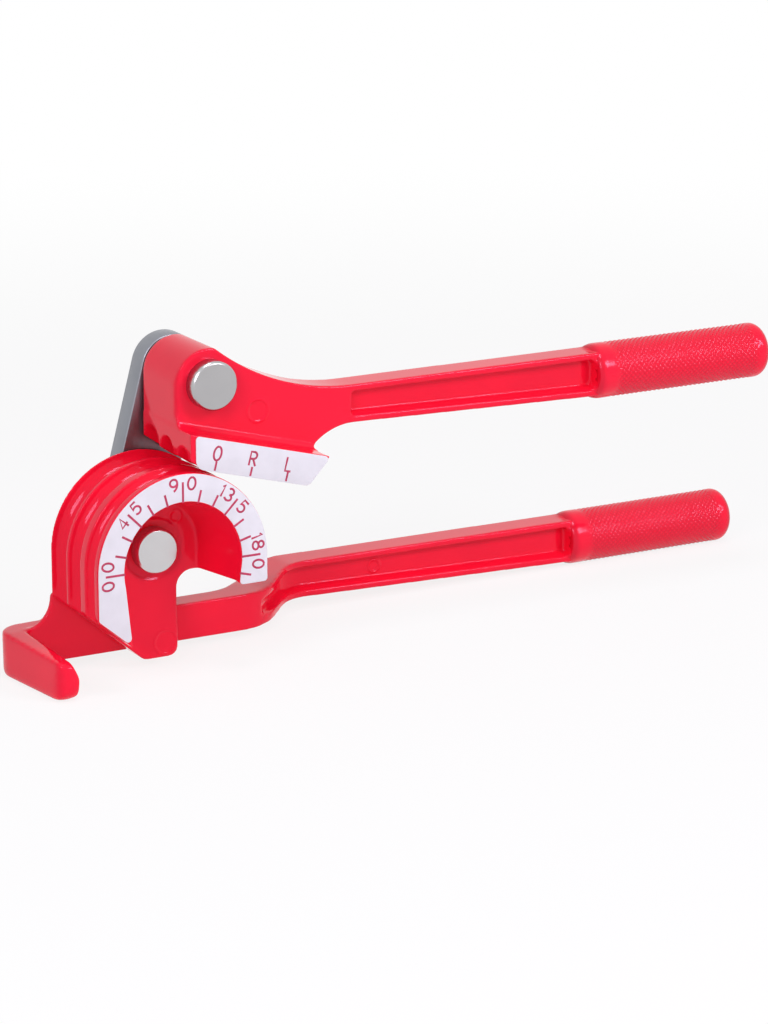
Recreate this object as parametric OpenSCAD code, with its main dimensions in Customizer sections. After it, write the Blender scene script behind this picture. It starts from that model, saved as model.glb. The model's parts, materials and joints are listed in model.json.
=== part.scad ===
// Hand tube bender. A grooved forming die sits on the fixed lower handle. A link plate carries
// the upper handle, whose grooved shoe rolls the tube round the die.
// The pieces are drawn in a working frame and then set on their base plane. In the working frame
// the die axis runs along Y, the die's front face is at Y = 0, X runs right along the handles, Z is up.

/* [Tubes] */
// Diameter of the largest tube, bent in the rear groove
tube_large = 10; // [9:0.5:12]
// Diameter of the middle tube
tube_middle = 8; // [6.5:0.5:8.5]
// Diameter of the smallest tube, bent in the front groove
tube_small = 6; // [4:0.5:7]
// Radial room between a tube and its groove
tube_room = 0.05; // [0.02:0.01:0.15]

/* [Forming die] */
// Radius of the die's ridges, which is the bend radius
die_r = 28; // [27:0.5:34]
// Width of the ridge between two grooves
ridge_land = 0.6; // [0.4:0.1:2]
// Width of the land at the die's front and rear faces
edge_land = 0.6; // [0.4:0.1:2]
// Width of the dial band on the front face
rim_w = 8.7; // [7.5:0.1:9.5]
// Thickness of the web behind the hollow
web_t = 12.2; // [10:0.1:16]
// How much the hollow narrows from its mouth to the web
hollow_draft = 4.4; // [2:0.1:5.5]
// How far the band's lower part leans in, in degrees
rim_lean = 6; // [0:0.5:8]
// How far the ring's right end reaches below the die axis
ring_drop = 8.3; // [6:0.1:10]
// Straight side below the die axis on the left
skirt_h = 13.5; // [12.5:0.5:16]
// Angle between the die's slanted flank and the level, in degrees
flank_angle = 40.4; // [38:0.2:45]
// Distance from the die axis to the leg's right edge
leg_right = 8; // [7:0.1:10]
// Fillet between the leg and the web
leg_fillet = 5; // [2:0.1:6]
// Corner radius of the foot
foot_r = 3; // [1:0.1:4]
// Depth of the spot face under the die pin's head
spot_depth = 0.6; // [0.2:0.1:2]
// Width of the spot face round the die pin's head
spot_room = 2.6; // [1:0.1:3]

/* [Lower handle] */
// Drop from the die axis to the top of the bar
bar_drop = 23; // [21:0.5:24]
// Height of the bar
bar_h = 11.5; // [11:0.5:14]
// Thickness of the bar
bar_t = 9; // [8.5:0.5:12]
// Room between the link's round end and the cheek behind the die
cheek_room = 2.8; // [1:0.1:4]
// Thickness of the cheek
cheek_t = 2; // [1.5:0.1:4]
// Distance from the leg's right edge to the cheek's right edge
cheek_inset = 2; // [1:0.1:3]
// Corner radius of the cheek
cheek_corner = 1.5; // [0.5:0.1:2]
// Room between the die's ridges and the hook's finger
hook_gap = 5.3; // [5.1:0.1:8]
// Width of the hook's finger at its tip
finger_w = 6.6; // [5:0.1:9]
// How far the finger widens outwards from its tip to its root
finger_flare = 4.3; // [2:0.1:6]
// Width of the finger's top at its tip
finger_top_w = 3.2; // [2.5:0.1:4.5]
// How far the finger's top drops towards its tip
finger_slope = 1.7; // [0:0.1:3]
// Rounding of the finger's tip at its foot
finger_toe_r = 5; // [2:0.1:5.5]
// Rounding of the finger's tip at its top
finger_brow_r = 3; // [1:0.1:4]
// How far the finger reaches in front of the bar
finger_len = 31.5; // [24:0.5:36]
// How far the hook's foot stands below the bar
hook_drop = 3; // [1:0.1:5]
// Drop from the bar's top to the top of the hook's arm
hook_step = 0.5; // [0.3:0.1:3]
// Fillet between the hook's arm and the cheek
hook_fillet = 9; // [3:0.5:12]
// Rounding of the finger's tip, seen from above
hook_round = 3.5; // [1:0.1:4]
// Rounding of the hook's rear corner, seen from above
hook_heel_r = 8; // [2:0.1:8.5]
// Rounding along the hook's foot
hook_foot_r = 2; // [0.5:0.1:3]
// Radius of the hook's lower rear corner
hook_back_r = 5; // [2:0.1:6]
// Distance from the die axis to the start of the jog
jog_start = 45; // [42:0.5:52]
// Length of the jog
jog_len = 17; // [14:0.5:24]
// How far the jog sets the arm back
jog_back = 18.5; // [12:0.5:24]
// How much earlier the jog starts at the rear than at the front
jog_lead = 11; // [6:0.5:14]
// Bend radius at the jog's front
jog_r = 17; // [8:0.5:18]
// Bend radius at the jog's rear
jog_rear_r = 14; // [6:0.5:18]
// How far the rear of the jog reaches the arm before its front does
jog_rear_lead = 4.5; // [0:0.5:6]
// Plain length of bar between the jog's pocket and the jog
jog_pocket_lead = 1; // [0.5:0.1:3]
// Height of the flanges where the jog's pocket starts
jog_flange_h = 3.3; // [2:0.1:4]
// How far the arm's middle rises at the jog
arm_lift = 1.6; // [0:0.1:3]
// Distance from the die axis to the lower grip
lower_reach = 168; // [140:1:220]

/* [Arms] */
// Thickness of an arm, front to rear
arm_w = 10.5; // [9:0.1:12]
// Height of an arm next to the head
arm_h = 11.8; // [10:0.1:13]
// Height of an arm at its grip
arm_end_h = 14; // [12:0.1:15]
// Height of an arm's flange
flange_h = 2.1; // [1.5:0.1:3]
// Depth of the pocket on each side of an arm
pocket_depth = 3.2; // [1:0.1:3.8]
// Plain length between a pocket and the grip
pocket_end = 1.5; // [0.5:0.1:6]
// How much a pocket's lower wall rises from its mouth to its floor
pocket_draft = 1.1; // [0.3:0.1:1.5]
// Depth of a pocket's straight lip, in front of its sloped wall
pocket_lip = 0.3; // [0.2:0.1:1]
// How far the upper arm's pockets run into the neck
pocket_lead = 0.6; // [0:0.1:2]

/* [Grips] */
// Radius of a grip
grip_r = 8.75; // [8:0.05:10]
// Length of the lower grip
lower_grip_len = 61; // [50:1:90]
// Length of the upper grip
upper_grip_len = 63; // [50:1:90]
// Rounding of a grip's end
grip_end_r = 3.2; // [2:0.1:6]
// Rounding of a grip's collar
grip_collar_r = 0.8; // [0.2:0.1:2]
// Radius of the tang inside a grip
tang_r = 5.2; // [4:0.1:6]
// Length of the tang inside a grip
tang_len = 46; // [30:1:48]
// Room between a tang's end and its grip
tang_end_room = 1; // [0.5:0.1:2]
// Radial room between a tang and its grip
tang_room = 0.02; // [0.01:0.01:0.1]
// Length of the cone where an arm swells to its grip
swell_len = 4.5; // [3:0.5:10]

/* [Link] */
// Half the width of the link plate, which is the radius of its round ends
link_r = 10.2; // [9.5:0.1:12]
// Thickness of the link plate
link_t = 7.5; // [6:0.1:8]
// How far the link leans right of upright at rest, in degrees
rest_angle = 15; // [0:1:40]
// Axial room at each moving face
axial_room = 0.1; // [0.05:0.05:0.3]
// Radial room between a pin and its bush
run_room = 0.05; // [0.02:0.01:0.1]
// Radial room between pieces that are pressed together
seat_room = 0.02; // [0.01:0.01:0.05]
// Wall of a bush
bush_wall = 1.5; // [1:0.1:2.5]

/* [Upper handle] */
// Distance from the shoe's ridges to the shoe pin
pin_to_shoe = 24.5; // [22:0.5:30]
// Gap between the shoe's ridges and the die's ridges
shoe_gap = 0.9; // [0.5:0.1:1.5]
// Height of the shoe's plate
shoe_h = 9.9; // [9:0.1:11]
// Distance from below the shoe pin to the toe, along the shoe's ridges
shoe_len = 36; // [28:0.5:40]
// How far the shoe's toe leans out at its top
toe_lean = 4.9; // [3:0.1:8]
// Rounding of the shoe's toe
toe_r = 2.2; // [0.5:0.1:3]
// Distance from below the shoe pin to the heel, along the shoe's ridges
heel_start = 0.4; // [0:0.1:3]
// Height of the slanted cut under the heel
heel_cut = 2; // [1:0.1:3]
// How much wider the grooves are in the heel, where they rise with its cut
heel_flare = 0.3; // [0.2:0.1:0.5]
// How far the heel stands out to the left of the block
heel_stand = 0.2; // [0.1:0.1:1]
// How far the shoe's rear part stands above its ledge
ledge_step = 0.3; // [0.2:0.1:1]
// Angle between the shoe and the arm, in degrees
shoe_tilt = 15; // [5:1:20]
// Radius of the block round the shoe pin
block_r = 10.6; // [10:0.1:13]
// How far the block's face lies behind the die's front face
block_setback = 9.5; // [8:0.1:12]
// Fillet between the block's face and the shoe's ledge
ledge_fillet = 3; // [1:0.1:4]
// Axial room between the upper handle and the lower handle's bar
bar_room = 0.5; // [0.3:0.1:1]
// Distance from the shoe pin to the start of the arm
neck_len = 49; // [46:0.5:60]
// Radius of the hollow on top of the neck
neck_r = 74; // [70:1:78]
// Drop from the shoe pin to the arm's top
arm_drop = 6.2; // [4:0.1:8]
// Distance from the block to the start of the neck's taper at the rear
neck_taper_start = 4; // [2:0.5:8]
// Length of the neck's taper at the rear
neck_taper_len = 14; // [10:0.5:20]
// Bend radius where the neck's taper ends
neck_taper_r = 14; // [6:0.5:18]
// Corner radius of the block, seen from above
block_corner = 2; // [0.5:0.1:3]
// Radius of the hollow under the arm, next to the shoe's toe
toe_hollow_r = 20; // [16:0.5:24]
// Drop from the shoe pin to the upper grip's axis
upper_grip_drop = 13.4; // [11:0.1:16]
// Distance from the shoe pin to the upper grip
upper_reach = 137; // [110:1:190]

/* [Pins and fasteners] */
// Radius of the die pin
die_pin_r = 4; // [3.5:0.1:5]
// Radius of the die pin's head
die_head_r = 6.95; // [6:0.05:8]
// Thickness of the die pin's head
die_head_t = 4.2; // [2:0.1:5]
// Radius of the shoe pin
shoe_pin_r = 4.5; // [3.5:0.1:5]
// Radius of the shoe pin's head
shoe_head_r = 7.5; // [6.5:0.05:8]
// Thickness of the shoe pin's head
shoe_head_t = 4.6; // [2:0.1:6]
// Bevel round a pin's head
head_bevel = 0.6; // [0.2:0.1:1]
// Thickness of the die's thrust washer
thrust_t = 0.8; // [0.5:0.1:1.5]
// Thickness of a rear washer
washer_t = 1; // [0.8:0.1:2]
// Width of a washer's face round its pin
washer_w = 3.6; // [2.5:0.1:5]
// Thickness of a retaining ring
ring_t = 1; // [0.8:0.1:1.5]
// Depth of a retaining ring's groove in its pin
ring_seat = 0.8; // [0.5:0.1:1]
// How far a retaining ring stands out of its pin
ring_w = 2; // [1.5:0.1:3]
// Width of a retaining ring's mouth
ring_mouth = 4.8; // [3:0.1:5]
// Length of a pin beyond its retaining ring
pin_tail = 0.8; // [0.5:0.1:2]
// Radius of a die screw's thread
screw_r = 2.5; // [2:0.1:2.6]
// Radius of a die screw's head
screw_head_r = 4.25; // [3.5:0.05:5]
// Height of a die screw's head
screw_head_h = 5; // [3:0.1:5.5]
// Depth of a die screw's thread in the die
screw_bite = 8; // [5:0.5:9]
// Width across the flats of a die screw's socket
socket_af = 4; // [2.5:0.5:5]
// Depth of a die screw's socket
socket_depth = 2.5; // [1:0.1:3]
// Distance from the leg's right edge to the nearer die screw
screw_edge = 4; // [3.5:0.1:4.5]
// Distance between the die screws
screw_pitch = 9; // [8.8:0.1:9.3]
// How far the die screws lie above the bar's middle
screw_lift = 0.8; // [0.3:0.1:1.1]
// Radius of a dowel
dowel_r = 2; // [1.5:0.1:2.2]
// Depth of a dowel in the die
dowel_bite = 6; // [4:0.5:7]
// Wall between a dowel's end and the screw heads' seats
dowel_wall = 0.5; // [0.3:0.1:1.5]
// How far a dowel lies above or below the screws
dowel_shift = 2.4; // [2.2:0.1:2.6]

/* [Scales] */
// Thickness of a scale plate
scale_t = 0.3; // [0.2:0.05:0.6]
// Bare border round the die's scale
scale_border = 0.5; // [0.2:0.1:1]
// Bare border round the shoe's scale
shoe_border = 0.4; // [0.2:0.1:1]
// Bare border between the shoe's scale and the heel
heel_border = 1.9; // [1:0.1:3]
// Corner radius of the shoe's scale at the heel
heel_corner = 3; // [1:0.1:4]
// Corner radius of a scale plate
scale_corner = 0.8; // [0.2:0.1:1.5]

/* [Hidden] */
$fn = 96;
corner_steps = 8;
beyond = 100;
past = 1;
sliver = 0.01;

// Die layout
large_r = tube_large / 2 + tube_room;
middle_r = tube_middle / 2 + tube_room;
small_r = tube_small / 2 + tube_room;
groove_pitch = 2 * large_r + ridge_land;
groove_radii = [small_r, middle_r, large_r];
function groove_y(i) = large_r + edge_land + i * groove_pitch;
die_depth = groove_y(2) + large_r + edge_land;
hollow_depth = die_depth - web_t;
hollow_r = die_r - rim_w;

// Lower handle layout
bar_top = -bar_drop;
bar_bottom = bar_top - bar_h;
bar_mid = (bar_top + bar_bottom) / 2;
bar_front = die_depth;
bar_rear = bar_front + bar_t;
leg_depth = past - bar_bottom;
foot_left = -die_r - (skirt_h + bar_bottom) / tan(flank_angle);
base_z = bar_bottom - hook_drop;
cheek_top = -(link_r + cheek_room);
cheek_right = leg_right - cheek_inset;
hook_arm_top = bar_top - hook_step;
hook_fillet_fit = min(hook_fillet, cheek_top - hook_arm_top - cheek_corner);
finger_inner = -(die_r + hook_gap);
finger_outer = finger_inner - finger_w;
hook_outer = finger_outer - finger_flare;
finger_mid = (base_z + hook_arm_top) / 2;
finger_tip = bar_front - finger_len;
lower_arm_front = bar_front + jog_back;
lower_arm_rear = lower_arm_front + arm_w;
jog_end = jog_start + jog_len;
bar_right = jog_start - jog_lead;
jog_root = bar_right - jog_lead;
jog_slope = jog_back / jog_len;
pocket_start = jog_start - jog_pocket_lead;
pocket_bend_x = jog_end - pocket_depth * tan(atan(jog_slope) / 2);
pocket_floor = lower_arm_front + pocket_depth;
lower_arm_mid = bar_mid + arm_lift;
lower_grip_y = (lower_arm_front + lower_arm_rear) / 2;
lower_grip_z = base_z + grip_r;

// Link and upper handle layout
shoe_ridge = die_r + shoe_gap;
link_c = shoe_ridge + pin_to_shoe;
shoe_pin_x = link_c * sin(rest_angle);
shoe_pin_z = link_c * cos(rest_angle);
link_front = die_depth + thrust_t + axial_room;
link_rear = link_front + link_t;
upper_rear = die_depth - bar_room;
shoe_top = shoe_h - pin_to_shoe;
upper_arm_rear = block_setback + arm_w;
upper_grip_y = (block_setback + upper_arm_rear) / 2;
arm_top = -arm_drop;
arm_bottom = arm_top - arm_h;
neck_taper_x = block_r + neck_taper_start;

// Pins, rings and washers along Y
die_head_rear = hollow_depth + spot_depth;
shoe_head_front = block_setback - shoe_head_t;
rear_washer_front = link_rear + axial_room;
ring_front = rear_washer_front + washer_t + axial_room / 2;
ring_rear = ring_front + ring_t;
pin_rear = ring_rear + pin_tail;

// Die fasteners in the X, Z plane
screw_x = leg_right - screw_edge;
screw_z = bar_mid + screw_lift;
dowel_x = screw_x - screw_pitch / 2;
screw_spots = [[screw_x, screw_z], [screw_x - screw_pitch, screw_z]];
dowel_spots = [[dowel_x, screw_z - dowel_shift], [dowel_x, screw_z + dowel_shift]];
dowel_seat = bar_t - screw_head_h - dowel_wall;

// The finished part stands on its base plane with its box centred on the origin
hook_lean = atan(finger_flare / (bar_rear - finger_tip));
hook_left = hook_outer + hook_heel_r * (tan(hook_lean) * (1 - sin(hook_lean)) + cos(hook_lean) - 1);
part_left = min(hook_left, shoe_pin_x - link_r);
upper_turn = rest_angle - shoe_tilt;
function upper_x(x, z) = shoe_pin_x + x * cos(upper_turn) + z * sin(upper_turn);
upper_right = upper_x(upper_reach + upper_grip_len, -upper_grip_drop);
part_right = max(lower_reach + lower_grip_len, upper_right);
part_front = min(-scale_t, finger_tip);
part_rear = max(lower_grip_y + grip_r, pin_rear);
origin = [(part_left + part_right) / 2, (part_front + part_rear) / 2, base_z];

enamel = "crimson";
steel = "lightslategray";
nickel = "silver";
bronze = "peru";
plate_white = "whitesmoke";

// Outlines with rounded corners: each point is [x, y, corner radius]
function unit(v) = v / norm(v);
function turned(v, a) = [v.x * cos(a) - v.y * sin(a), v.x * sin(a) + v.y * cos(a)];
function flat(p) = [p[0], p[1]];
function corner_arc(before, at, after, r) =
    let (a = unit(flat(before) - flat(at)),
         b = unit(flat(after) - flat(at)),
         half = acos(a * b) / 2,
         centre = flat(at) + unit(a + b) * r / sin(half),
         start = flat(at) + a * r / tan(half) - centre,
         sweep = (180 - 2 * half) * sign(a.y * b.x - a.x * b.y))
    [for (k = [0:corner_steps]) centre + turned(start, sweep * k / corner_steps)];
function rounded(pts) =
    [for (i = [0:len(pts) - 1])
        let (n = len(pts), p = pts[i])
        each p[2] > 0 ? corner_arc(pts[(i + n - 1) % n], p, pts[(i + 1) % n], p[2]) : [flat(p)]];

// Frames and extrusions
module on_base() translate(-origin) children();
module at_shoe_pin() translate([shoe_pin_x, 0, shoe_pin_z]) children();
module in_upper() at_shoe_pin() rotate([0, upper_turn, 0]) children();
module in_shoe() in_upper() rotate([0, shoe_tilt, 0]) children();
module face_on(y0, y1) translate([0, y1, 0]) rotate([90, 0, 0]) linear_extrude(y1 - y0) children();
module plan(z0, z1) translate([0, 0, z0]) linear_extrude(z1 - z0) children();
module side_on(x0, x1) translate([x0, 0, 0]) rotate([90, 0, 90]) linear_extrude(x1 - x0) children();
module rod_y(y0, y1, r) translate([0, y0, 0]) rotate([-90, 0, 0]) cylinder(h = y1 - y0, r = r);
module cone_y(y0, y1, r0, r1) {
    translate([0, y0, 0]) rotate([-90, 0, 0]) cylinder(h = y1 - y0, r1 = r0, r2 = r1);
}
module rod_x(x0, x1, r) translate([x0, 0, 0]) rotate([0, 90, 0]) cylinder(h = x1 - x0, r = r);
module spot(p) translate([p[0], 0, p[1]]) children();

// Shapes that more than one piece uses
module headed_pin(front, seat, head_r, r) {
    difference() {
        union() {
            cone_y(front, front + head_bevel, head_r - head_bevel, head_r);
            rod_y(front + head_bevel, seat, head_r);
            rod_y(seat - sliver, pin_rear, r);
        }
        difference() {
            rod_y(ring_front - axial_room / 2, ring_rear + axial_room / 2, r + past);
            rod_y(ring_front - past, ring_rear + past, r - ring_seat);
        }
    }
}
module washer(y0, y1, pin_r) {
    difference() {
        rod_y(y0, y1, pin_r + washer_w);
        rod_y(y0 - past, y1 + past, pin_r + run_room);
    }
}
module retaining_ring(pin_r) {
    difference() {
        rod_y(ring_front, ring_rear, pin_r + ring_w);
        rod_y(ring_front - past, ring_rear + past, pin_r - ring_seat + seat_room);
        translate([-ring_mouth / 2, ring_front - past, -beyond])
            cube([ring_mouth, ring_t + 2 * past, beyond]);
    }
}
module bush(pin_r) {
    difference() {
        rod_y(link_front, link_rear, pin_r + run_room + bush_wall);
        rod_y(link_front - past, link_rear + past, pin_r + run_room);
    }
}
module link_eye(pin_r) {
    rod_y(link_front - past, link_rear + past, pin_r + run_room + bush_wall + seat_room);
}
module pocket_outline(x0, x1, z_low0, z_low1, z_high0, z_high1, left_r) {
    polygon(rounded([
        [x0, z_low0 + flange_h, left_r], [x1, z_low1 + flange_h, flange_h],
        [x1, z_high1 - flange_h, flange_h], [x0, z_high0 - flange_h, left_r]]));
}
module pocket_cut(lip0, lip1, floor_y) {
    hull() {
        face_on(lip0, lip1) children(0);
        face_on(floor_y - sliver, floor_y) children(1);
    }
}
module grip(len) {
    rotate([0, 90, 0]) rotate_extrude() polygon(rounded([
        [tang_r + tang_room, 0, 0], [grip_r, 0, grip_collar_r], [grip_r, len, grip_end_r], [0, len, 0],
        [0, tang_len + tang_end_room, 0], [tang_r + tang_room, tang_len + tang_end_room, 0]]));
}
module arm_end(reach, arm_r) {
    translate([reach - swell_len, 0, 0]) rotate([0, 90, 0]) cylinder(h = swell_len, r1 = arm_r, r2 = grip_r);
    rod_x(reach - sliver, reach + tang_len, tang_r);
}

// Forming die: one grooved profile, swept half round the die axis and then straight down on both sides
module die_profile() {
    difference() {
        square([die_r, die_depth]);
        for (i = [0:2]) translate([die_r, groove_y(i)]) circle(groove_radii[i]);
    }
}
module below_flank(border) {
    translate([-die_r, -skirt_h]) rotate(-flank_angle)
        translate([-beyond, border - beyond]) square([2 * beyond, beyond]);
}
module die_outline() {
    polygon(rounded([
        [-beyond, beyond, 0], [-beyond, (beyond - die_r) * tan(flank_angle) - skirt_h, 0],
        [foot_left, bar_bottom, foot_r], [leg_right, bar_bottom, foot_r],
        [leg_right, -ring_drop, leg_fillet], [beyond, -ring_drop, 0], [beyond, beyond, 0]]));
}
module die_blank() {
    rotate([-90, 0, 0]) rotate(-180) rotate_extrude(angle = 180) die_profile();
    plan(bar_bottom - past, 0) mirror([1, 0]) die_profile();
    plan(-ring_drop - past, 0) die_profile();
    translate([0, 0, bar_bottom - past])
        cube([leg_right + leg_fillet + past, die_depth, leg_depth]);
}
module leg_hollow(border) {
    top = hollow_r + border;
    foot = top - leg_depth * tan(rim_lean);
    polygon([[-top, 0], [top, 0], [foot, -leg_depth], [-foot, -leg_depth]]);
}
module rim_hole(border) {
    circle(hollow_r + border);
    leg_hollow(border);
}
module die_hollow() {
    cone_y(-sliver, hollow_depth, hollow_r, hollow_r - hollow_draft);
    intersection() {
        face_on(-sliver, hollow_depth) leg_hollow(0);
        plan(-beyond, 0) polygon([
            [-hollow_r, -sliver], [hollow_r, -sliver], [hollow_r - hollow_draft, hollow_depth],
            [-hollow_r + hollow_draft, hollow_depth]]);
    }
}
module forming_die() color(enamel) on_base() difference() {
    intersection() {
        die_blank();
        face_on(-past, die_depth + past) die_outline();
    }
    die_hollow();
    rod_y(hollow_depth - sliver, die_head_rear, die_head_r + spot_room);
    rod_y(0, die_depth + past, die_pin_r + seat_room);
    for (p = screw_spots) spot(p) rod_y(die_depth - screw_bite, die_depth + past, screw_r + seat_room);
    for (p = dowel_spots) spot(p) rod_y(die_depth - dowel_bite, die_depth + past, dowel_r + seat_room);
}
module die_screws() color(steel) on_base() for (p = screw_spots) spot(p) difference() {
    union() {
        rod_y(die_depth - screw_bite, bar_rear - screw_head_h + sliver, screw_r);
        rod_y(bar_rear - screw_head_h, bar_rear, screw_head_r);
    }
    translate([0, bar_rear + past, 0]) rotate([90, 0, 0])
        cylinder(h = socket_depth + past, d = socket_af / cos(30), $fn = 6);
}
module die_dowels() color(nickel) on_base() for (p = dowel_spots)
    spot(p) rod_y(die_depth - dowel_bite, bar_front + dowel_seat, dowel_r);
module dial_outline() {
    intersection() {
        die_outline();
        difference() {
            union() {
                circle(die_r - scale_border);
                translate([-die_r + scale_border, -leg_depth])
                    square([2 * (die_r - scale_border), leg_depth]);
            }
            rim_hole(scale_border);
            below_flank(scale_border);
        }
    }
}
module die_scale() color(plate_white) on_base() face_on(-scale_t, 0)
    offset(r = scale_corner) offset(delta = -scale_corner) dial_outline();
module die_pivot_pin() color(nickel) on_base()
    headed_pin(die_head_rear - die_head_t, die_head_rear, die_head_r, die_pin_r);
module die_thrust_washer() color(bronze) on_base()
    washer(die_depth, die_depth + thrust_t, die_pin_r);
module die_rear_washer() color(nickel) on_base()
    washer(rear_washer_front, rear_washer_front + washer_t, die_pin_r);
module die_retaining_ring() color(steel) on_base() retaining_ring(die_pin_r);

// Lower handle
module bar_outline() {
    polygon(rounded([
        [hook_outer, bar_bottom, 0], [hook_outer, hook_arm_top, hook_foot_r],
        [-die_r, hook_arm_top, 0], [-die_r + hook_step, bar_top, 0],
        [bar_right, bar_top, 0], [bar_right, bar_bottom, 0]]));
}
module cheek_outline() {
    left = -die_r - hook_fillet_fit - past;
    polygon(rounded([
        [left, bar_mid, 0], [left, hook_arm_top, 0], [-die_r, hook_arm_top, hook_fillet_fit],
        [-die_r, cheek_top, cheek_corner], [cheek_right, cheek_top, cheek_corner],
        [cheek_right, bar_mid, 0]]));
}
module finger_section() {
    polygon(rounded([
        [hook_outer - past, base_z, 0], [hook_outer - past, hook_arm_top, 0],
        [finger_outer + finger_top_w, hook_arm_top, 0], [finger_inner, finger_mid, hook_foot_r],
        [finger_inner, base_z, hook_foot_r]]));
}
module finger_side() {
    polygon(rounded([
        [finger_tip, base_z, finger_toe_r], [finger_tip, hook_arm_top - finger_slope, finger_brow_r],
        [bar_front, hook_arm_top, 0], [bar_rear, hook_arm_top, 0], [bar_rear, base_z, hook_back_r]]));
}
module hook_plan() {
    polygon(rounded([
        [finger_outer, finger_tip, hook_round], [hook_outer, bar_rear, hook_heel_r],
        [beyond, bar_rear, 0], [beyond, finger_tip, 0]]));
}
module hook_and_bar() {
    intersection() {
        union() {
            face_on(bar_front, bar_rear) bar_outline();
            face_on(bar_front, bar_front + cheek_t) cheek_outline();
            intersection() {
                face_on(finger_tip, bar_rear) finger_section();
                side_on(hook_outer - past, finger_inner) finger_side();
            }
        }
        plan(base_z, 0) hook_plan();
    }
}
module lower_arm_plan() {
    polygon(rounded([
        [jog_root, bar_front, 0], [jog_start, bar_front, jog_r], [jog_end, lower_arm_front, jog_r],
        [lower_reach, lower_arm_front, 0], [lower_reach, lower_arm_rear, 0],
        [jog_end - jog_rear_lead, lower_arm_rear, jog_rear_r],
        [bar_right, bar_rear, jog_rear_r], [jog_root, bar_rear, 0]]));
}
module lower_arm_side() {
    polygon(rounded([
        [jog_root, bar_top, 0], [jog_start, bar_top, 2 * jog_r],
        [jog_end, lower_arm_mid + arm_h / 2, 2 * jog_r], [lower_reach, lower_grip_z + arm_end_h / 2, 0],
        [lower_reach, lower_grip_z - arm_end_h / 2, 0], [jog_end, lower_arm_mid - arm_h / 2, 2 * jog_r],
        [jog_start, bar_bottom, 2 * jog_r], [jog_root, bar_bottom, 0]]));
}
module front_pocket_plan() {
    polygon(rounded([
        [pocket_start, 0, 0], [pocket_start, pocket_floor - (pocket_bend_x - pocket_start) * jog_slope, 0],
        [pocket_bend_x, pocket_floor, jog_r], [lower_reach, pocket_floor, 0], [lower_reach, 0, 0]]));
}
module front_pocket_outline() {
    right = lower_reach - pocket_end;
    polygon(rounded([
        [pocket_start, bar_bottom + jog_flange_h, 1],
        [jog_end, lower_arm_mid - arm_h / 2 + flange_h, 2 * jog_r],
        [right, lower_grip_z - arm_end_h / 2 + flange_h, flange_h],
        [right, lower_grip_z + arm_end_h / 2 - flange_h, flange_h],
        [jog_end, lower_arm_mid + arm_h / 2 - flange_h, 2 * jog_r],
        [pocket_start, bar_top - jog_flange_h, 1]]));
}
module pocket_slope_at(x, y, z) {
    deep = pocket_depth + past;
    translate([x, y, z]) rotate([90, 0, 90]) linear_extrude(sliver)
        polygon([[pocket_lip, 0], [pocket_lip, -past], [deep, -past],
            [deep, (deep - pocket_lip) * pocket_draft / (pocket_depth - pocket_lip)]]);
}
module front_pocket_slope() {
    jog_mouth = lower_arm_front - (pocket_bend_x - pocket_start) * jog_slope;
    hull() {
        pocket_slope_at(pocket_start, jog_mouth, bar_bottom + jog_flange_h);
        pocket_slope_at(jog_end, lower_arm_front, lower_arm_mid - arm_h / 2 + flange_h);
    }
    hull() {
        pocket_slope_at(jog_end, lower_arm_front, lower_arm_mid - arm_h / 2 + flange_h);
        pocket_slope_at(lower_reach, lower_arm_front, lower_grip_z - arm_end_h / 2 + flange_h);
    }
}
module rear_pocket_outline(rise) {
    pocket_outline(jog_end + arm_w / 2, lower_reach - pocket_end,
        lower_arm_mid - arm_h / 2 + rise, lower_grip_z - arm_end_h / 2 + rise,
        lower_arm_mid + arm_h / 2, lower_grip_z + arm_end_h / 2, flange_h);
}
module lower_handle() color(enamel) on_base() difference() {
    union() {
        hook_and_bar();
        intersection() {
            plan(-beyond, beyond) lower_arm_plan();
            face_on(0, beyond) lower_arm_side();
        }
        translate([0, lower_grip_y, lower_grip_z]) arm_end(lower_reach, arm_w / 2);
    }
    difference() {
        intersection() {
            plan(-beyond, beyond) front_pocket_plan();
            face_on(0, beyond) front_pocket_outline();
        }
        front_pocket_slope();
    }
    pocket_cut(lower_arm_rear - pocket_lip, lower_arm_rear + grip_r, lower_arm_rear - pocket_depth) {
        rear_pocket_outline(0);
        rear_pocket_outline(pocket_draft);
    }
    for (p = screw_spots) spot(p) {
        rod_y(bar_front - past, bar_rear, screw_r + seat_room);
        rod_y(bar_rear - screw_head_h, bar_rear + past, screw_head_r + seat_room);
    }
    for (p = dowel_spots) spot(p) rod_y(bar_front - past, bar_front + dowel_seat, dowel_r + seat_room);
}
module lower_grip() color(enamel) on_base()
    translate([lower_reach, lower_grip_y, lower_grip_z]) grip(lower_grip_len);

// Link
module link_plate() color(steel) on_base() difference() {
    rotate([0, rest_angle, 0]) face_on(link_front, link_rear) union() {
        circle(link_r);
        translate([0, link_c]) circle(link_r);
        translate([-link_r, 0]) square([2 * link_r, link_c]);
    }
    link_eye(die_pin_r);
    at_shoe_pin() link_eye(shoe_pin_r);
}
module die_bush() color(bronze) on_base() bush(die_pin_r);
module shoe_bush() color(bronze) on_base() at_shoe_pin() bush(shoe_pin_r);

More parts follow.
